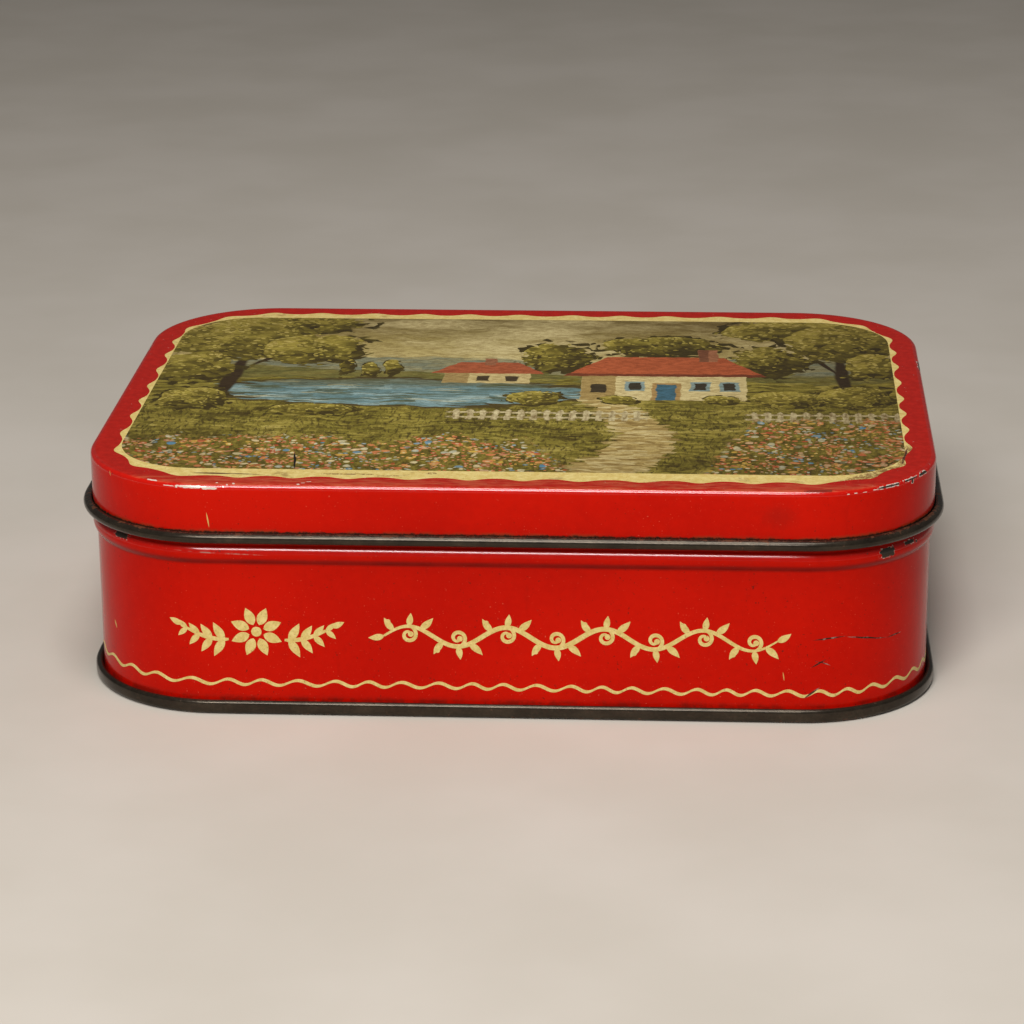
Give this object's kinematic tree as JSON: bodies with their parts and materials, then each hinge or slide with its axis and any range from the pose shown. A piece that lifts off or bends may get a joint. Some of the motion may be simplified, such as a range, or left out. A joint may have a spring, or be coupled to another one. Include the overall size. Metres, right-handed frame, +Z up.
{
  "type": "rectangular slip-lid tin",
  "caption": "Shallow rectangular tinplate box with round corners, a lift-off lid with a rolled lower edge, a stop bead round the wall and a double-seamed base.",
  "frame": {"origin": "centre of the bounding box at the table, under the base rim", "axes": "+X along the long side, to the right of someone facing the front; +Y to the back; +Z up, the way the lid lifts"},
  "size_m": [0.1686, 0.1298, 0.0465],
  "materials": {
    "lid_lithograph": "gloss printed enamel",
    "body_lithograph": "gloss printed enamel",
    "bare_tinplate": "dulled tinplate"
  },
  "bodies": {
    "tin": {"body_wall": "body_lithograph", "base": "bare_tinplate"},
    "lid": {"lid": "lid_lithograph"}
  },
  "joints": [
    {"name": "lid_lift", "type": "slide", "parent": "tin", "child": "lid", "axis": [0, 0, 1], "range_m": [0, 0.08]}
  ]
}
